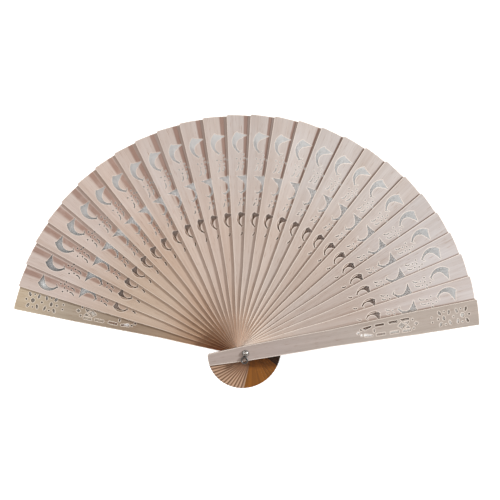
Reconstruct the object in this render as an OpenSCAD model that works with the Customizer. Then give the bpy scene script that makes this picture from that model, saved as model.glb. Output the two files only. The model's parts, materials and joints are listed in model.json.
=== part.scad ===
// Folding fan with twenty-six pierced wooden blades between two thicker guards.
// It lies fully open, its back on the XY plane, +Z towards the front, the rivet's axis on Z.

/* [Overall size] */
// Distance from the rivet to the tips of the sticks
tip_r = 173.5; // [120:0.5:220]
// Distance from the rivet to the ends of the tails
tail_r = 27.8; // [15:0.5:40]
// Number of thin blades between the two guards
blade_count = 26; // [10:1:26]

/* [Spread] */
// Direction in which the rear guard points, anticlockwise from +X
rear_angle = 166.8; // [120:0.1:180]
// Direction in which the front guard points
front_angle = 9.8; // [0:0.1:60]

/* [Thickness] */
// Thickness of a blade
blade_t = 0.6; // [0.4:0.05:1.2]
// Thickness of a guard
guard_t = 2; // [1.2:0.1:4]
// Room between two sticks, which the ribbon runs through
stick_gap = 0.3; // [0.2:0.05:0.6]

/* [Stick outline] */
// Half the width of a stick at the end of its tail
tail_half_w = 4.4; // [3:0.1:8]
// Half the width of a stick at the rivet
pivot_half_w = 5.5; // [3:0.1:8]
// Half the width at the shoulder, and again at the waist beyond it
shoulder_half_w = 6.3; // [3:0.1:9]
// Half the width of a stick at its tip
tip_half_w = 9.6; // [6:0.1:13]
// How far the tip falls from its left to its right, for each millimetre across
tip_slant = 0.06; // [0:0.01:0.15]
// Radius of the rounded corners at the tip
tip_corner_r = 1; // [0.5:0.1:4]
// Radius of the rounded corners at the tail
tail_corner_r = 1.8; // [0.5:0.1:4]

/* [Rivet and eye] */
// Radius of the rivet's shank
shank_r = 1.2; // [0.8:0.05:2]
// Radius of the rivet's two heads
head_r = 2.2; // [1.6:0.1:4]
// Height of the domed front head
dome_h = 1.2; // [0.6:0.1:3]
// Running clearance between metal and wood
clearance = 0.05; // [0.02:0.01:0.1]
// Radius of the wire that the eye is bent from
eye_wire_r = 0.6; // [0.3:0.05:1]
// Radius of the eye's ring, measured to the middle of the wire
eye_ring_r = 2.15; // [1.5:0.05:4]
// Direction in which the eye hangs
eye_angle = 261; // [200:1:320]

/* [Ribbon] */
// Distance from the rivet to the middle of the ribbon
ribbon_r = 166; // [120:0.5:170]
// Width of the ribbon
ribbon_w = 4; // [2:0.5:8]
// Thickness of the ribbon
ribbon_t = 0.15; // [0.1:0.01:0.2]

/* [Hidden] */
$fn = 48;
slit_w = 0.8;
hole_r = 0.6;
boss_r = 4;
rivet_head_t = 0.6;
eye_collar_t = 0.5;
eye_collar_r = 2.5;
sticks = blade_count + 2;
angle_step = (rear_angle - front_angle) / (sticks - 1);
blade_step = blade_t + stick_gap;
first_blade_z = guard_t + stick_gap;
front_guard_z = first_blade_z + blade_count * blade_step;
top_z = front_guard_z + guard_t;
eye_z = top_z + clearance;
head_z = eye_z + eye_collar_t + clearance;
eye_reach = eye_collar_r + eye_ring_r + eye_wire_r - 0.2;

// Half the width of a stick at a distance along it from the rivet.
function half_w(y) = lookup(y, [
    [-tail_r, tail_half_w],
    [0, pivot_half_w],
    [0.25 * tip_r, shoulder_half_w],
    [0.36 * tip_r, shoulder_half_w],
    [0.5 * tip_r, 0.75 * tip_half_w],
    [0.73 * tip_r, 0.9 * tip_half_w],
    [tip_r, tip_half_w]
]);
function side_stations() = [0, 0.25 * tip_r, 0.36 * tip_r, 0.5 * tip_r, 0.73 * tip_r];
function two_digits(n) = n < 10 ? str("0", n) : str(n);
function blade_name(n) = str("blade_", two_digits(n));
function ribbon_name(n) = str("ribbon_", two_digits(n));
function stick_angle(n) = rear_angle - n * angle_step;
function blade_z(n) = first_blade_z + (n - 1) * blade_step;

// Points on a circle of radius r about [x, y], from angle a0 to a1.
function arc(x, y, r, a0, a1, steps) =
    [for (i = [0 : steps]) let (a = a0 + (a1 - a0) * i / steps) [x + r * cos(a), y + r * sin(a)]];
function reversed(points) = [for (i = [len(points) - 1 : -1 : 0]) points[i]];
function mirrored(points) = [for (p = reversed(points)) [-p[0], p[1]]];
function slanted(p) = [p[0], p[1] - tip_slant * p[0]];

// The right-hand half of an end that is an arc about the rivet with a rounded corner.
// It runs from the corner to the middle of the end.
function rounded_end(r, half_width, corner) =
    let (
        x = half_width - corner,
        y = sqrt(pow(r - corner, 2) - x * x),
        turn = atan2(y, x)
    )
    concat(
        arc(x, y, corner, 0, turn, 4),
        [for (i = [1 : 3]) let (a = turn + (90 - turn) * i / 3) [r * cos(a), r * sin(a)]]
    );

// ---- outlines ----

module stick_outline() {
    tip = rounded_end(tip_r, tip_half_w, tip_corner_r);
    tail = [for (p = rounded_end(tail_r, tail_half_w, tail_corner_r)) [p[0], -p[1]]];
    side = [for (y = side_stations()) [half_w(y), y]];
    right = concat(reversed(tail), side, tip);
    left = mirrored(right);
    outline = concat(right, [for (i = [1 : len(left) - 2]) left[i]]);
    polygon([for (p = outline) p[1] > 0.9 * tip_r ? slanted(p) : p]);
}

// A curved slit: part of a ring of radius r between two angles.
module arc_slit(x, y, r, a0, a1, w = slit_w) {
    far = r + w;
    translate([x, y])
        intersection() {
            difference() {
                circle(r + w / 2);
                circle(r - w / 2);
            }
            polygon(concat([[0, 0]], arc(0, 0, 2 * far, a0, a1, 2)));
        }
}

module hole(x, y, r = hole_r) {
    translate([x, y])
        circle(r, $fn = 24);
}

// A leaping crescent with a beak at the upper right and a forked tail at the foot.
module crescent() {
    back_r = 8.2;
    belly_r = 5;
    difference() {
        intersection() {
            translate([2.5, 0.3])
                circle(back_r);
            polygon([
                [-7, -8], [-7, 8], [-2.8, 8], [-1.6, 6.3], [2.2, 5.2], [4.8, 4.6],
                [2, 3.6], [0.6, 2.6], [2, -2.1], [0.9, -5.4], [-1.2, -6], [-1.2, -8]
            ]);
        }
        translate([2, -2.1])
            circle(belly_r);
    }
    polygon([[-1.9, -6.1], [-0.6, -6.3], [1.3, -5.3], [0.2, -6.5], [-0.9, -6.9], [-1.3, -7.8], [-1.9, -6.9]]);
}

module comma(x, y, r) {
    arc_slit(x - r, y, r, -72, 24);
}

// What is cut through a blade, from its tip inwards.
module blade_cuts() {
    translate([0.1, 153.8])
        scale(1.07)
            crescent();
    for (p = [[2.1, 144.7], [-2.9, 141.8], [0, 141.3], [2.8, 142], [4.8, 141.2], [-1.4, 138.5], [1.8, 138.8]])
        hole(p[0], p[1]);
    comma(-1.8, 135.6, 2.6);
    comma(1.7, 136, 2.6);
    translate([0, 123.5])
        rotate(-12)
            mirror([1, 0])
                crescent();
    hole(-0.5, 112.2);
    hole(2.2, 112.8);
    comma(-1.4, 109.3, 1.9);
    comma(1.5, 109.3, 1.9);
    translate([0.7, 97.5])
        scale(0.78)
            crescent();
    comma(-0.1, 87.3, 1.8);
}

// A petal, long across the guard and leaning by an angle.
module petal(x, y, rx, ry, lean = 0) {
    translate([x, y])
        rotate(lean)
            scale([rx, ry])
                circle(1, $fn = 24);
}

module diamond(y, half_x, half_y) {
    polygon([[0, y - half_y], [half_x, y], [0, y + half_y], [-half_x, y]]);
}

// One half of the outer floral panel of a guard, which is the same on both sides.
module floral_half() {
    hole(1.8, 138.6);
    petal(4.2, 144.6, 1.6, 0.95, -28);
    hole(4.8, 148.2);
    petal(3.9, 151.6, 1.7, 0.8, 12);
    petal(3.9, 157.4, 1.7, 0.8, -12);
    hole(4.8, 160.6);
    petal(4.2, 164.2, 1.7, 0.9, 25);
}

// One half of the inner slotted panel of a guard.
module slotted_half() {
    hole(2, 85.8, 0.7);
    polygon([[1.2, 88], [3.3, 87.6], [4, 93.8], [2.9, 93.8]]);
    translate([2.6, 96.6])
        square([1.6, 6.6]);
    translate([2.9, 106.8])
        square([1.7, 6.6]);
    polygon([[3.3, 116.6], [4.9, 115.6], [5, 122], [3.4, 122]]);
    polygon([[0.4, 120.4], [2.4, 118.2], [2.4, 122]]);
    hole(3.2, 124.4, 0.7);
}

module both_sides() {
    children();
    mirror([1, 0])
        children();
}

module guard_cuts() {
    both_sides() {
        floral_half();
        slotted_half();
    }
    for (y = [143.2, 154.5, 166.2])
        hole(0, y, 0.7);
    petal(0, 147.4, 1.6, 1);
    petal(0, 161.3, 1.6, 1.4);
    diamond(83.6, 1, 1.2);
    diamond(116, 2.5, 3);
    diamond(126.8, 1.3, 1.6);
    translate([-1.2, 94.9])
        square([2.4, 1]);
}

// ---- sub-parts ----

// Turns a stick that points along +Y to where stick n points, and lifts it to z.
module place(n, z) {
    rotate(stick_angle(n) - 90)
        translate([0, 0, z])
            children();
}

module pivot_bore() {
    translate([0, 0, -1])
        cylinder(r = shank_r + clearance, h = guard_t + 3);
}

// The raised ring round the rivet that keeps the next stick a ribbon's room away.
module pivot_boss(z) {
    translate([0, 0, z])
        cylinder(r = boss_r, h = stick_gap - clearance);
}

module rear_guard() {
    color([0.74, 0.63, 0.5])
        place(0, 0)
            difference() {
                union() {
                    linear_extrude(guard_t)
                        difference() {
                            stick_outline();
                            guard_cuts();
                        }
                    pivot_boss(guard_t);
                }
                pivot_bore();
                translate([0, 0, -1])
                    cylinder(r = head_r + clearance, h = 1 + rivet_head_t + clearance);
            }
}

module blade(n) {
    color([0.84, 0.76, 0.71])
        place(n, blade_z(n))
            difference() {
                union() {
                    linear_extrude(blade_t)
                        difference() {
                            stick_outline();
                            blade_cuts();
                        }
                    pivot_boss(blade_t);
                }
                pivot_bore();
            }
}

module front_guard() {
    color([0.78, 0.71, 0.66])
        place(sticks - 1, front_guard_z)
            difference() {
                linear_extrude(guard_t)
                    difference() {
                        stick_outline();
                        guard_cuts();
                    }
                pivot_bore();
            }
}

// The stretch of ribbon that is glued across the back of stick n.
module ribbon(n) {
    reach = atan2(half_w(ribbon_r) - 0.6, ribbon_r);
    color([0.9, 0.88, 0.84])
        place(n, blade_z(n) - ribbon_t)
            linear_extrude(ribbon_t)
                polygon(concat(
                    arc(0, 0, ribbon_r - ribbon_w / 2, 90 - reach, 90 + reach, 4),
                    reversed(arc(0, 0, ribbon_r + ribbon_w / 2, 90 - reach, 90 + reach, 4))
                ));
}

module rivet() {
    dome_r = (head_r * head_r + dome_h * dome_h) / (2 * dome_h);
    color([0.6, 0.6, 0.6]) {
        cylinder(r = head_r, h = rivet_head_t);
        cylinder(r = shank_r, h = head_z + 0.1);
        intersection() {
            translate([0, 0, head_z + dome_h - dome_r])
                sphere(dome_r);
            translate([0, 0, head_z])
                cylinder(r = head_r + 1, h = dome_h + 1);
        }
    }
}

module hanging_eye() {
    color([0.35, 0.34, 0.33])
        translate([0, 0, eye_z])
            rotate(eye_angle) {
                difference() {
                    cylinder(r = eye_collar_r, h = eye_collar_t);
                    translate([0, 0, -1])
                        cylinder(r = shank_r + clearance, h = 3);
                }
                translate([eye_reach, 0, eye_wire_r])
                    rotate_extrude()
                        translate([eye_ring_r, 0])
                            circle(eye_wire_r);
            }
}

rear_guard();
for (n = [1 : blade_count]) blade(n);
front_guard();
for (n = [1 : blade_count + 1]) ribbon(n);
rivet();
hanging_eye();
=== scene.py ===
"""Sandalwood folding fan: materials, woven ribbon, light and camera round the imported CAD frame."""

import json
import math
import random

import bpy
from mathutils import Matrix, Vector


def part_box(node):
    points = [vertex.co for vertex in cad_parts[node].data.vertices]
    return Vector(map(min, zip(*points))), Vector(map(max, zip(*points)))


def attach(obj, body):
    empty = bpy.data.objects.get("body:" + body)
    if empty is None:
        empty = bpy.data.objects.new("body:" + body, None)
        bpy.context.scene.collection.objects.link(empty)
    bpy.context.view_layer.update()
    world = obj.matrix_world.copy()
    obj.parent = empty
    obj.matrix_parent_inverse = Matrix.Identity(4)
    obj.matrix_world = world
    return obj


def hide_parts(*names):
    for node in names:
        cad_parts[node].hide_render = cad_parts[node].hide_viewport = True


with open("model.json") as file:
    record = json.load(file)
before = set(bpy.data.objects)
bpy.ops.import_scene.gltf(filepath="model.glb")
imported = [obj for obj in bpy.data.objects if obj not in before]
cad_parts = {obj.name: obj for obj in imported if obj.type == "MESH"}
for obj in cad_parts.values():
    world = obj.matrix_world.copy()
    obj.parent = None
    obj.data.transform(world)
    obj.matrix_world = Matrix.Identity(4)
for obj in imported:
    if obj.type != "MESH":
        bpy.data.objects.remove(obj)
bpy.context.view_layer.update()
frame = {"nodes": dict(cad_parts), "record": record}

MM = 0.001
SEED = 11
BLADES = [n for n in sorted(frame["nodes"]) if n.startswith("blade_")]
RIBBONS = [n for n in sorted(frame["nodes"]) if n.startswith("ribbon_")]
STICKS = ["rear_guard"] + BLADES + ["front_guard"]
TOP = len(STICKS) - 1
TIP_R = 173.5 * MM
TAIL_R = 27.8 * MM
FAN_MIDDLE = Vector((0.0, 70.0 * MM, 0.0))


def stick_angle(node):
    """The direction in which a stick points, anticlockwise from +X.

    It comes from the stick's tail, which is even on both sides.
    """
    points = [v.co.to_2d() for v in frame["nodes"][node].data.vertices]
    tip = max(points, key=lambda p: p.length).normalized()
    tail = [p for p in points if p.dot(tip) < -0.8 * TAIL_R]
    middle = sum(tail, Vector((0.0, 0.0)))
    return math.atan2(-middle.y, -middle.x)


def unit(value):
    """The value, kept between 0 and 1."""
    return min(1.0, max(0.0, value))


# ---- node helpers ----


class Graph:
    """A material's node tree, with short calls to add and join nodes."""

    def __init__(self, name):
        self.material = bpy.data.materials.new(name)
        self.material.use_nodes = True
        self.tree = self.material.node_tree
        self.tree.nodes.clear()

    def add(self, kind, inputs=None, **settings):
        node = self.tree.nodes.new(kind)
        for key, value in settings.items():
            setattr(node, key, value)
        for key, value in (inputs or {}).items():
            if isinstance(value, bpy.types.NodeSocket):
                self.tree.links.new(value, node.inputs[key])
            else:
                node.inputs[key].default_value = value
        return node

    def math(self, operation, a, b=0.0, clamp=False):
        return self.add("ShaderNodeMath", {0: a, 1: b}, operation=operation, use_clamp=clamp).outputs[0]

    def mix(self, factor, a, b, blend="MIX"):
        node = self.add("ShaderNodeMix", data_type="RGBA", blend_type=blend)
        for index, value in ((0, factor), (6, a), (7, b)):
            if isinstance(value, bpy.types.NodeSocket):
                self.tree.links.new(value, node.inputs[index])
            else:
                node.inputs[index].default_value = value
        return node.outputs[2]

    def ramp(self, factor, stops):
        node = self.add("ShaderNodeValToRGB", {0: factor})
        ramp = node.color_ramp
        while len(ramp.elements) < len(stops):
            ramp.elements.new(0.5)
        for element, (place, value) in zip(ramp.elements, stops):
            element.position = place
            element.color = value if len(value) == 4 else (*value, 1.0)
        return node.outputs[0]

    def multiply(self, factor, colour, tint):
        """The colour, multiplied by the tint as far as the factor says."""
        return self.mix(factor, colour, tint, "MULTIPLY")

    def above(self, value, start, width):
        """0 where the value is below start, rising to 1 over the width."""
        return self.math("DIVIDE", self.math("SUBTRACT", value, start), width, clamp=True)

    def below(self, value, end, width):
        """0 where the value is above end, rising to 1 as it falls by the width."""
        return self.math("DIVIDE", self.math("SUBTRACT", end, value), width, clamp=True)

    def noise(self, vector, scale, detail=3.0, rough=0.5, distortion=0.0):
        inputs = {"Vector": vector, "Scale": scale, "Detail": detail, "Roughness": rough}
        return self.add("ShaderNodeTexNoise", {**inputs, "Distortion": distortion}).outputs["Fac"]

    def vector(self, operation, *vectors):
        return self.add("ShaderNodeVectorMath", dict(enumerate(vectors)), operation=operation).outputs

    def stretched(self, vector, x, y, z):
        return self.vector("MULTIPLY", vector, (x, y, z))[0]

    def length(self, vector):
        return self.vector("LENGTH", vector)["Value"]

    def dot(self, a, b):
        return self.vector("DOT_PRODUCT", a, b)["Value"]

    def split(self, vector):
        return self.add("ShaderNodeSeparateXYZ", {0: vector}).outputs

    def wave(self, vector, scale, direction):
        inputs = {"Vector": vector, "Scale": scale}
        return self.add("ShaderNodeTexWave", inputs, bands_direction=direction).outputs["Fac"]

    def open_sky(self, distance, samples):
        """How much of the sky a point sees, as far as the distance."""
        return self.add("ShaderNodeAmbientOcclusion", {"Distance": distance}, samples=samples).outputs["AO"]

    def bump(self, height, strength, distance):
        inputs = {"Strength": strength, "Distance": distance, "Height": height}
        return self.add("ShaderNodeBump", inputs).outputs[0]

    def surface(self, **inputs):
        shader = self.add("ShaderNodeBsdfPrincipled", {k.replace("_", " "): v for k, v in inputs.items()})
        out = self.add("ShaderNodeOutputMaterial")
        self.tree.links.new(shader.outputs[0], out.inputs[0])
        return self.material


def grey(value):
    return (value, value, value, 1.0)


# ---- materials ----


# colours of the painted shade where the sticks crowd together, and of the painted highlight on the arrises
SHADE = (0.30, 0.13, 0.045, 1.0)
ARRIS_HIGHLIGHT = (0.97, 0.89, 0.82, 1.0)

# tints that multiply the wood's colour, each a painted light or a painted shade
PILE_SHADE = (0.70, 0.43, 0.24, 1.0)
LOW_PILE_SHADE = (0.62, 0.46, 0.34, 1.0)
RIVET_LIGHT = (1.5, 1.42, 1.3, 1.0)
EDGE_LINE_SHADE = (0.50, 0.34, 0.25, 1.0)
LEE_SHADOW = (0.57, 0.43, 0.385, 1.0)
TAIL_LINE_SHADE = (0.34, 0.26, 0.20, 1.0)

# how far from the rivet the painted light and the painted shades reach, and how wide they fade out
RIVET_LIGHT_R, RIVET_LIGHT_FADE = 36.0 * MM, 22.0 * MM
PILE_SHADE_R, PILE_SHADE_FADE = 66.0 * MM, 44.0 * MM
LOW_PILE_SHADE_R, LOW_PILE_SHADE_FADE = 38.0 * MM, 18.0 * MM

# a blade's edge: how far it is from the middle line at the tip, and how fast it comes in
EDGE_AT_TIP = 7.96 * MM
EDGE_TAPER = 0.0805

# the painted shadow band along that edge: its width at the tip, what the far left adds, how it narrows,
# and where it starts
BAND_WIDTH = 5.9 * MM
BAND_FAR_LEFT = 2.2 * MM
BAND_TAPER = 0.055
BAND_START = 84.0 * MM
BAND_FADE = 30.0 * MM

# the edge of the next stick's tail: how far it is from the middle line at the rivet, and its slope
NEXT_TAIL_AT_PIVOT = 5.5 * MM
NEXT_TAIL_SLOPE = 0.1427


def wood(name, angle, seed, light, dark, lee, depth, tail, inner, tail_line_darkness):
    """Straight-grained sandalwood whose grain runs along a stick that points at angle.

    lee is how wide the painted shadow band is beside the next stick's edge, from 0 to 1. depth is how
    low the stick lies in the pile, from 0 to 1. tail is the colour of the painted shade on the tail's
    upward face, or None. inner holds the tints of the face from the rivet outwards. The last argument
    is how dark the painted shade line is beside the next tail.
    """
    g = Graph(name)
    rng = random.Random(SEED + seed)
    place = g.add("ShaderNodeTexCoord").outputs["Object"]
    along = g.add(
        "ShaderNodeVectorRotate",
        {"Vector": place, "Angle": math.pi / 2 - angle},
        rotation_type="Z_AXIS",
    ).outputs[0]
    spread = g.split(along)
    reach = g.length(along)
    outwards = g.math("DIVIDE", reach, TIP_R)
    shift = tuple(rng.uniform(-3.0, 3.0) for _ in range(3))
    moved = g.vector("ADD", along, shift)[0]

    streaks = g.noise(g.stretched(moved, 330.0, 9.0, 90.0), 1.0, 4.0, 0.55, 0.4)
    bands = g.noise(g.stretched(moved, 110.0, 5.0, 60.0), 1.0, 2.0, 0.5, 0.6)
    fibres = g.noise(g.stretched(moved, 1900.0, 34.0, 400.0), 1.0, 2.0, 0.6)
    pores = g.noise(g.stretched(moved, 2600.0, 130.0, 600.0), 1.0, 1.0, 0.5)
    mottle = g.noise(moved, 45.0, 3.0, 0.55)

    grain = g.math("ADD", g.math("MULTIPLY", streaks, 0.5), g.math("MULTIPLY", bands, 0.5))
    between = tuple(0.4 * d + 0.6 * l for d, l in zip(dark, light))
    colour = g.ramp(grain, [(0.34, dark), (0.5, between), (0.64, light)])
    colour = g.multiply(1.0, colour, g.ramp(outwards, inner))
    colour = g.multiply(0.45, colour, g.ramp(fibres, [(0.3, grey(0.84)), (0.7, grey(1.08))]))
    colour = g.multiply(1.0, colour, g.ramp(pores, [(0.24, (0.74, 0.63, 0.56)), (0.36, grey(1.0))]))
    patches = g.ramp(mottle, [(0.3, (0.97, 0.93, 0.9)), (0.7, (1.03, 1.04, 1.05))])
    colour = g.multiply(0.6, colour, patches)

    # painted shadow: the band beside the next stick's edge is painted darker and redder, widening the key
    # light's real shadow there
    if lee:
        far_left = unit((depth - 0.62) / 0.18)
        inwards = g.math("SUBTRACT", TIP_R, spread["Y"])
        edge = g.math("SUBTRACT", EDGE_AT_TIP, g.math("MULTIPLY", inwards, EDGE_TAPER))
        gap = g.math("SUBTRACT", edge, spread["X"])
        at_tip = (BAND_WIDTH + BAND_FAR_LEFT * far_left) * lee
        width = g.math("SUBTRACT", at_tip, g.math("MULTIPLY", inwards, BAND_TAPER * lee))
        across = g.math("DIVIDE", gap, g.math("MAXIMUM", width, 0.2 * MM))
        full = grey(1.0 - 0.1 * far_left)
        end = 0.86 - 0.08 * far_left
        band = g.ramp(across, [(0.3, grey(0.2)), (0.42, full), (end, full), (1.0, grey(0.0))])
        blotches = g.noise(moved, 140.0, 2.0, 0.5)
        blotches = g.ramp(blotches, [(0.3, grey(1.0 - 0.25 * far_left)), (0.5, grey(1.0))])
        outer = g.above(spread["Y"], BAND_START, BAND_FADE)
        lee_shadowing = g.math("MULTIPLY", g.math("MULTIPLY", band, outer), blotches)
        colour = g.multiply(lee_shadowing, colour, LEE_SHADOW)

        # painted shade: a narrow dark line is painted along the edge where the band is narrow
        narrow = 1.0 - lee
        line = g.below(gap, 0.95 * MM, 0.35 * MM)
        edge_line_shading = [(0.3, grey(0.0)), (0.5, grey(0.3 * narrow)), (0.75, grey(0.55 * narrow))]
        colour = g.multiply(g.math("MULTIPLY", line, g.ramp(outwards, edge_line_shading)), colour, EDGE_LINE_SHADE)

    # painted highlight: the arrises are painted paler than the faces, less so where the band is wide
    normal = g.add("ShaderNodeNewGeometry").outputs["Normal"]
    upward = g.split(normal)["Z"]
    rounded = g.add("ShaderNodeBevel", {"Radius": 1.1 * MM}, samples=6).outputs[0]
    edge_highlight = g.ramp(g.dot(normal, rounded), [(0.955, grey(0.85 - 0.35 * lee)), (0.992, grey(0.0))])

    # painted shade: the wood is painted browner where the sticks crowd together and hide the sky
    open_sky = g.open_sky(4.0 * MM, 6)
    crowded = g.ramp(open_sky, [(0.3, grey(1.0)), (0.8, grey(0.0))])
    pile_shade_strength = unit(1.9 * depth - 0.95)
    # painted light: near the rivet the crowd shade is left off the upper sticks, and the upper blades are
    # painted lighter there
    rivet_lighting = g.math("MULTIPLY", g.below(reach, RIVET_LIGHT_R, RIVET_LIGHT_FADE), 1.0 - pile_shade_strength)
    beyond_rivet_light = g.math("SUBTRACT", 1.0, rivet_lighting)
    crowd_shade = g.math("MULTIPLY", crowded, g.ramp(outwards, [(0.2, grey(1.0)), (0.45, grey(0.45))]))
    crowd_shade = g.math("MULTIPLY", g.math("MULTIPLY", crowd_shade, 0.3 + 0.5 * depth), beyond_rivet_light)
    colour = g.mix(crowd_shade, colour, SHADE)
    if lee:
        colour = g.multiply(g.math("SUBTRACT", 1.0, beyond_rivet_light), colour, RIVET_LIGHT)
    colour = g.mix(g.math("MULTIPLY", edge_highlight, g.above(upward, 0.2, 0.5)), colour, ARRIS_HIGHLIGHT)

    # each stick's sawn sides have a tone of their own
    sawn = g.math("SUBTRACT", 1.0, g.math("ABSOLUTE", upward), clamp=True)
    tone = rng.uniform(0.68, 1.0)
    colour = g.multiply(sawn, colour, (tone, tone**1.2, tone**1.5, 1.0))

    # painted shade: the lower sticks are painted browner round the rivet, the lowest ones most of all, and
    # the deepest crevices darkest
    pile_shading = g.below(reach, PILE_SHADE_R, PILE_SHADE_FADE)
    colour = g.multiply(g.math("MULTIPLY", pile_shading, pile_shade_strength), colour, PILE_SHADE)
    low_pile_shading = g.below(reach, LOW_PILE_SHADE_R, LOW_PILE_SHADE_FADE)
    colour = g.multiply(g.math("MULTIPLY", low_pile_shading, max(0.0, 6.0 * depth - 4.8)), colour, LOW_PILE_SHADE)
    crevice_shading = g.ramp(open_sky, [(0.06, (0.22, 0.13, 0.08)), (0.34, grey(1.0))])
    colour = g.multiply(1.0, colour, crevice_shading)

    # painted shade: the tail's upward face takes the given shaded colour, painted darker still beside the
    # next stick's tail
    if tail:
        tail_shading = g.below(spread["Y"], -2.0 * MM, 2.5 * MM)
        tail_shading = g.math("MULTIPLY", tail_shading, g.above(upward, 0.4, 0.3))
        figure = g.ramp(grain, [(0.36, grey(0.6)), (0.62, grey(1.2))])
        shaded_tail = g.multiply(0.8, (*tail, 1.0), figure)
        neighbour = g.math("MULTIPLY", spread["Y"], NEXT_TAIL_SLOPE)
        neighbour = g.math("ADD", neighbour, NEXT_TAIL_AT_PIVOT + 1.5 * MM)
        beside = g.below(spread["X"], neighbour, 0.5 * MM)
        shaded_tail = g.multiply(g.math("MULTIPLY", beside, tail_line_darkness), shaded_tail, TAIL_LINE_SHADE)
        colour = g.mix(tail_shading, colour, shaded_tail)

    rough = g.math("ADD", g.math("MULTIPLY", fibres, 0.16), 0.46)
    height = g.math("ADD", g.math("MULTIPLY", fibres, 0.6), g.math("MULTIPLY", pores, 0.4))
    bump = g.bump(height, 0.3, 0.1 * MM)
    return g.surface(Base_Color=colour, Roughness=rough, Normal=bump, Specular_IOR_Level=0.4)


def metal(name, colour, dull, rough):
    """Turned metal with fine scratches and a duller film in patches."""
    g = Graph(name)
    place = g.add("ShaderNodeTexCoord").outputs["Object"]
    film = g.noise(place, 900.0, 3.0, 0.6)
    scratches = g.noise(g.stretched(place, 9000.0, 1200.0, 2500.0), 1.0, 2.0, 0.6)
    tint = g.ramp(film, [(0.35, dull), (0.6, colour)])
    roughness = g.math("ADD", g.math("MULTIPLY", film, 0.22), rough)
    bump = g.bump(scratches, 0.18, 0.03 * MM)
    return g.surface(Base_Color=tint, Metallic=1.0, Roughness=roughness, Normal=bump)


def satin(name):
    """Pale satin ribbon with a fine weave and slightly darker selvedges."""
    g = Graph(name)
    place = g.add("ShaderNodeTexCoord").outputs["UV"]
    warp = g.wave(g.stretched(place, 1.0, 0.0, 0.0), 14.0, "X")
    weft = g.wave(g.stretched(place, 0.0, 1.0, 0.0), 5.0, "Y")
    weave = g.math("MULTIPLY", warp, g.math("ADD", weft, 0.4))
    tint = g.ramp(weave, [(0.0, (0.66, 0.62, 0.56)), (0.9, (0.86, 0.83, 0.78))])
    from_middle = g.math("ABSOLUTE", g.math("SUBTRACT", g.split(place)["Y"], 0.5))
    selvedge = g.ramp(from_middle, [(0.38, grey(0.0)), (0.46, grey(0.5))])
    tint = g.mix(selvedge, tint, (0.62, 0.56, 0.48, 1.0))
    bump = g.bump(weave, 0.4, 0.05 * MM)
    rough = g.math("ADD", g.math("MULTIPLY", weave, 0.15), 0.38)
    sheen = {"Sheen_Weight": 0.25, "Sheen_Roughness": 0.4}
    return g.surface(Base_Color=tint, Roughness=rough, Normal=bump, **sheen)


def paint(node, material):
    slots = frame["nodes"][node].material_slots
    if not slots:
        frame["nodes"][node].data.materials.append(material)
    for s in slots:
        s.material = material


# ---- sticks ----


# the light and the dark of the grain
BLADE_LIGHT = (0.69, 0.605, 0.56)
BLADE_DARK = (0.585, 0.485, 0.43)
GUARD_LIGHT = (0.475, 0.43, 0.40)
GUARD_DARK = (0.395, 0.352, 0.32)
REAR_LIGHT = (0.57, 0.465, 0.34)
REAR_DARK = (0.45, 0.35, 0.24)

# the guards' tints from the rivet outwards
GUARD_INNER = [(0.2, (0.91, 0.88, 0.91)), (0.66, grey(1.0))]
REAR_INNER = [
    (0.3, (0.66, 0.59, 0.575)), (0.5, (0.58, 0.545, 0.56)), (0.8, (0.79, 0.83, 0.92)),
    (0.97, (1.05, 1.1, 1.15)),
]

# painted shade on the tails' upward faces, lighter on the upper sticks and darkest on the lowest ones, with
# how many of the lowest sticks have a nearly black tail, and how many a nearly black or an amber one
TAIL_BLACK_SHADE = (0.045, 0.018, 0.006)
TAIL_SHADE = (0.255, 0.092, 0.008)
TAIL_HALF_SHADE = (0.54, 0.36, 0.25)
BURIED_STICKS = 4
LOW_STICKS = 15

# tints of a blade's tip, middle and pivot, each by how low the blade lies in the pile
TIP_TINTS = (
    (0.0, (0.92, 1.0, 1.09)), (0.35, (0.90, 0.97, 1.03)), (0.6, (0.88, 0.88, 0.89)),
    (0.85, (0.97, 0.96, 0.97)),
)
MIDDLE_TINTS = (
    (0.0, (0.83, 0.76, 0.70)), (0.3, (0.92, 0.84, 0.78)), (0.6, (1.06, 1.0, 0.94)),
    (0.85, (0.87, 0.80, 0.69)),
)
# the darker, browner pivot tints of the lowest blades are painted shade under the pile
PIVOT_TINTS = (
    (0.0, (0.95, 0.93, 0.90)), (0.2, (0.88, 0.85, 0.82)), (0.5, (1.0, 0.91, 0.83)),
    (0.7, (0.76, 0.69, 0.62)), (0.9, (0.54, 0.46, 0.35)),
)


def lee_width(angle):
    """How much of the full painted shadow band a stick shows, least where the light runs along it."""
    return min(1.0, max(0.05, (math.degrees(angle) - 57.0) / 38.0))


def tint_at(depth, tints):
    """The tint at a depth, on straight lines between the given ones."""
    below = max((t for t in tints if t[0] <= depth), key=lambda t: t[0])
    above = min((t for t in tints if t[0] > depth), key=lambda t: t[0], default=below)
    share = (depth - below[0]) / (above[0] - below[0]) if above is not below else 0.0
    return tuple(a + (b - a) * share for a, b in zip(below[1], above[1]))


def times(colour, tint):
    return tuple(c * t for c, t in zip(colour, tint))


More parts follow.
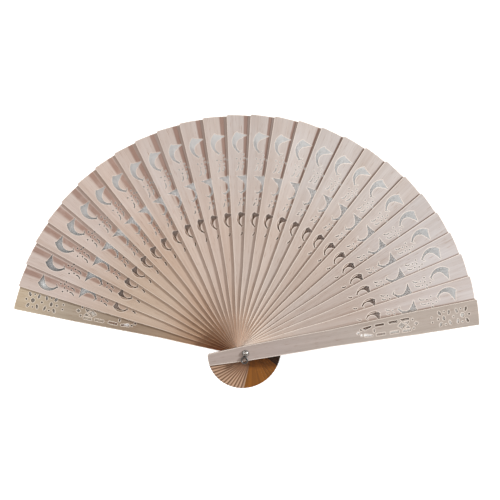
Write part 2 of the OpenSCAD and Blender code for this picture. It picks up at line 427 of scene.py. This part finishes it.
for number, node in enumerate(STICKS):
    vary = random.Random(SEED * 7 + number)
    tone = 1.0 + vary.uniform(-0.04, 0.04)
    warm = vary.uniform(-0.02, 0.02)
    angle = stick_angle(node) % math.tau
    depth = 1.0 - number / TOP
    tip, middle, pivot = (tint_at(depth, tints) for tints in (TIP_TINTS, MIDDLE_TINTS, PIVOT_TINTS))
    middle = times(middle, tip)

    # painted highlight: the ring round the rivet is painted brightest a quarter of the way down the pile,
    # and darker below
    rivet_glare = 1.0 + 0.5 * max(0.0, 1.0 - abs(depth - 0.26) / 0.2) - 0.32 * unit((depth - 0.45) / 0.2)
    glared_pivot = tuple(c * rivet_glare for c in pivot)
    inner = [(0.08, glared_pivot), (0.15, pivot), (0.32, middle), (0.54, middle), (0.8, tip)]
    light, dark = BLADE_LIGHT, BLADE_DARK
    tail, tail_line_darkness, lee = TAIL_HALF_SHADE, 0.9, lee_width(angle)
    if number < LOW_STICKS:
        tail, tail_line_darkness = (TAIL_BLACK_SHADE if number < BURIED_STICKS else TAIL_SHADE), 0.12
    if node == "front_guard":
        light, dark, inner, tail, lee = GUARD_LIGHT, GUARD_DARK, GUARD_INNER, None, 0.0
    elif node == "rear_guard":
        light, dark, inner, lee = REAR_LIGHT, REAR_DARK, REAR_INNER, 0.0
    tones = (tone * (1.0 + warm), tone, tone * (1.0 - warm))
    light, dark = times(light, tones), times(dark, tones)
    material = wood(f"sandalwood_{node}", angle, number, light, dark, lee, depth, tail, inner, tail_line_darkness)
    paint(node, material)

paint("rivet", metal("rivet_steel", (0.52, 0.51, 0.50), (0.30, 0.29, 0.28), 0.14))
paint("hanging_eye", metal("eye_steel", (0.17, 0.165, 0.165), (0.07, 0.068, 0.065), 0.28))

# ---- ribbon ----


# the ribbon's thickness across its width, as shares, with a selvedge along both sides
RIBBON_ACROSS = [
    (0.0, 0.72), (0.05, 1.0), (0.12, 0.9), (0.5, 0.8), (0.88, 0.9), (0.95, 1.0), (1.0, 0.72),
]
RIBBON_STEPS = 18
WEAVE_REPEATS = 4.0


def ribbon_piece(node, material):
    """A woven stretch of ribbon in the place of its CAD solid, with thicker selvedges."""
    low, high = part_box(node)
    stick = "front_guard" if node == RIBBONS[-1] else node.replace("ribbon_", "blade_")
    angle = stick_angle(stick)
    corners = [v.co for v in frame["nodes"][node].data.vertices]
    radii = [math.hypot(p.x, p.y) for p in corners]
    turns = [(math.atan2(p.y, p.x) - angle + math.pi) % math.tau - math.pi for p in corners]
    inner, outer, reach = min(radii), max(radii), max(turns)
    thick = high.z - low.z

    # two layers of points, the back one first, each from one end of the stretch to the other
    points, uvs, faces = [], [], []
    for front in (False, True):
        for i in range(RIBBON_STEPS + 1):
            share = i / RIBBON_STEPS
            turn = angle + reach * (1.0 - 2.0 * i / RIBBON_STEPS)
            for place, fullness in RIBBON_ACROSS:
                r = inner + (outer - inner) * place
                z = high.z if front else high.z - thick * fullness
                points.append((r * math.cos(turn), r * math.sin(turn), z))
                uvs.append((share * WEAVE_REPEATS, place))
    row = len(RIBBON_ACROSS)
    layer = row * (RIBBON_STEPS + 1)
    for i in range(RIBBON_STEPS):
        for j in range(row - 1):
            a = i * row + j
            faces.append((a, a + row, a + row + 1, a + 1))
            faces.append((layer + a, layer + a + 1, layer + a + row + 1, layer + a + row))
    for i in range(RIBBON_STEPS):
        for j in (0, row - 1):
            a, b = i * row + j, (i + 1) * row + j
            side = (a, layer + a, layer + b, b)
            faces.append(side if j == 0 else (a, b, layer + b, layer + a))
    for i in (0, RIBBON_STEPS):
        for j in range(row - 1):
            a = i * row + j
            end = (a, a + 1, layer + a + 1, layer + a)
            faces.append(end if i == 0 else (a, layer + a, layer + a + 1, a + 1))
    mesh = bpy.data.meshes.new(f"woven_{node}")
    mesh.from_pydata(points, [], faces)
    layer_uv = mesh.uv_layers.new(name="weave")
    for loop in mesh.loops:
        layer_uv.data[loop.index].uv = uvs[loop.vertex_index]
    mesh.materials.append(material)
    mesh.validate()
    piece = bpy.data.objects.new(f"woven_{node}", mesh)
    bpy.context.scene.collection.objects.link(piece)
    body = next(b for b, nodes in frame["record"]["behaviour"]["bodies"].items() if node in nodes)
    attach(piece, body)
    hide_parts(node)


ribbon_satin = satin("ribbon_satin")
for node in RIBBONS:
    ribbon_piece(node, ribbon_satin)

# ---- floor, light and camera ----


# the shade under the sticks, by the direction from the rivet as a share of half a turn
TURNED_SHADES = [
    (0.12, grey(0.41)), (0.33, grey(0.54)), (0.56, grey(0.60)), (0.67, grey(0.54)),
    (0.78, (0.44, 0.435, 0.43)), (0.87, (0.195, 0.19, 0.19)), (0.925, (0.27, 0.26, 0.25)),
    (0.95, (0.50, 0.45, 0.37)),
]

# and by the distance from the rivet as a share of the fan's radius
OUTWARD_SHADES = [(0.56, (0.54, 0.33, 0.23)), (0.65, grey(1.4)), (0.77, grey(1.4)), (0.84, grey(1.0))]
GUARD_SHADE = (0.68, 0.62, 0.57, 1.0)

# how far from the rivet the sticks must hide more of the sky for the shade to show
PIVOT_SIDE_R = 104.0 * MM
PIVOT_SIDE_FADE = 16.0 * MM

# where the shade ends: at the tips, and at each guard's outer edge, whose distance from the
# guard's middle line grows with the reach by the flare
SHADE_R = 171.0 * MM
SHADE_FADE = 1.5 * MM
GUARD_EDGES = (("front_guard", 1.0, 9.0 * MM, 0.022), ("rear_guard", -1.0, 6.2 * MM, 0.0))


def floor():
    size = 3.0
    corners = [(-size, -size, 0), (size, -size, 0), (size, size, 0), (-size, size, 0)]
    mesh = bpy.data.meshes.new("floor")
    mesh.from_pydata(corners, [], [(0, 1, 2, 3)])
    piece = bpy.data.objects.new("floor", mesh)
    bpy.context.scene.collection.objects.link(piece)
    g = Graph("floor_paper")
    place = g.add("ShaderNodeTexCoord").outputs["Object"]
    paper = g.ramp(g.noise(place, 6.0, 2.0), [(0.3, (0.93, 0.93, 0.935)), (0.7, (0.95, 0.95, 0.95))])

    # the shade shows only where the sticks hide enough of the sky: more of it near the rivet, and
    # on the rear guard's side
    open_sky = g.open_sky(45.0 * MM, 8)
    reach = g.length(place)
    sides = g.split(place)
    turned = g.math("DIVIDE", g.math("ARCTAN2", sides["Y"], sides["X"]), math.pi)
    most = g.math("SUBTRACT", 0.95, g.math("MULTIPLY", turned, 0.2))
    pivot_side = g.below(reach, PIVOT_SIDE_R, PIVOT_SIDE_FADE)
    most = g.math("SUBTRACT", most, g.math("MULTIPLY", pivot_side, 0.4))
    near = g.below(open_sky, most, 0.15)

    inside = g.below(reach, SHADE_R, SHADE_FADE)
    guarded = 0.0
    for node, side, margin, flare in GUARD_EDGES:
        angle = stick_angle(node)
        distance = g.dot(place, (-side * math.sin(angle), side * math.cos(angle), 0.0))
        limit = g.math("ADD", g.math("MULTIPLY", reach, flare), margin)
        within = g.above(g.math("ADD", distance, limit), 0.0, SHADE_FADE)
        inside = g.math("MULTIPLY", inside, within)
        under = g.above(g.math("SUBTRACT", margin, distance), 2.0 * MM, 2.0 * MM)
        guarded = g.math("MAXIMUM", under, guarded)
    shade = g.ramp(g.math("DIVIDE", reach, TIP_R), OUTWARD_SHADES)
    shade = g.multiply(1.0, shade, g.ramp(turned, TURNED_SHADES))
    shade = g.multiply(guarded, shade, GUARD_SHADE)
    tint = g.mix(g.math("MULTIPLY", inside, near), paper, shade)
    mesh.materials.append(g.surface(Base_Color=tint, Roughness=0.9, Specular_IOR_Level=0.1))
    return piece


def towards(azimuth, elevation):
    """The unit vector towards an azimuth, anticlockwise from +X, and an elevation, in degrees."""
    a, e = math.radians(azimuth), math.radians(elevation)
    return Vector((math.cos(a) * math.cos(e), math.sin(a) * math.cos(e), math.sin(e)))


def lamp_at(data, azimuth, elevation, distance):
    """A lamp that shines on the middle of the fan from a direction and a distance."""
    lamp = bpy.data.objects.new(data.name, data)
    lamp.rotation_mode = "QUATERNION"
    lamp.rotation_quaternion = towards(azimuth, elevation).to_track_quat("Z", "Y")
    lamp.location = FAN_MIDDLE + towards(azimuth, elevation) * distance
    bpy.context.scene.collection.objects.link(lamp)
    return lamp


def only(lamp, obj, state):
    """Lets a lamp light only obj, or everything but obj."""
    group = bpy.data.collections.new(f"{lamp.name}_receivers")
    group.objects.link(obj)
    group.collection_objects[0].light_linking.link_state = state
    lamp.light_linking.receiver_collection = group


ground = floor()

# the key light and the fill, with how strongly each lights the fan
KEY_AZIMUTH = 18.0
KEY_ELEVATION = 21.0
KEY_DISTANCE = 2.2
KEY_STRENGTH = 3.9
FILL_STRENGTH = 0.58
key_data = bpy.data.lights.new("key", "AREA")
key_data.shape = "DISK"
key_data.size = 0.15
key_data.energy = KEY_STRENGTH * math.pi * KEY_DISTANCE**2
key_data.color = (0.94, 0.985, 1.0)
only(lamp_at(key_data, KEY_AZIMUTH, KEY_ELEVATION, KEY_DISTANCE), ground, "EXCLUDE")

fill_data = bpy.data.lights.new("fill", "AREA")
fill_data.size = 1.0
fill_data.energy = FILL_STRENGTH * math.pi * KEY_DISTANCE**2
fill_data.color = key_data.color
only(lamp_at(fill_data, 165.0, 40.0, KEY_DISTANCE), ground, "EXCLUDE")

table_data = bpy.data.lights.new("table_light", "SUN")
table_data.energy = 7.0
table_data.angle = math.radians(130.0)
table_data.color = (0.93, 0.98, 1.0)
only(lamp_at(table_data, 105.0, 70.0, 1.0), ground, "INCLUDE")

top_data = bpy.data.lights.new("top", "AREA")
top_data.size = 0.35
top_data.energy = 0.45 * math.pi
top_data.color = (1.0, 0.93, 0.88)
lamp_at(top_data, 120.0, 80.0, 1.1)

world = bpy.data.worlds.new("studio")
bpy.context.scene.world = world
world.use_nodes = True
sky = world.node_tree.nodes["Background"].inputs
sky["Color"].default_value = (1.0, 0.86, 0.76, 1.0)
sky["Strength"].default_value = 0.42

view = bpy.context.scene.view_settings
view.view_transform = "Standard"
view.look = "None"

CAMERA_AT = Vector((-29.5, 122.0, 850.0)) * MM
CAMERA_TILT = (0.0566, 0.0399)
SENSOR_WIDTH = 36.0
FOCAL_SHARE = 2.2774
camera_data = bpy.data.cameras.new("camera")
camera_data.sensor_width = SENSOR_WIDTH
camera_data.lens = SENSOR_WIDTH * FOCAL_SHARE
camera_data.clip_start = 0.01
camera = bpy.data.objects.new("camera", camera_data)
turn = Matrix.Rotation(CAMERA_TILT[0], 3, "X") @ Matrix.Rotation(CAMERA_TILT[1], 3, "Y")
camera.location = CAMERA_AT
camera.rotation_mode = "QUATERNION"
camera.rotation_quaternion = turn.transposed().to_quaternion()
bpy.context.scene.collection.objects.link(camera)
bpy.context.scene.camera = camera
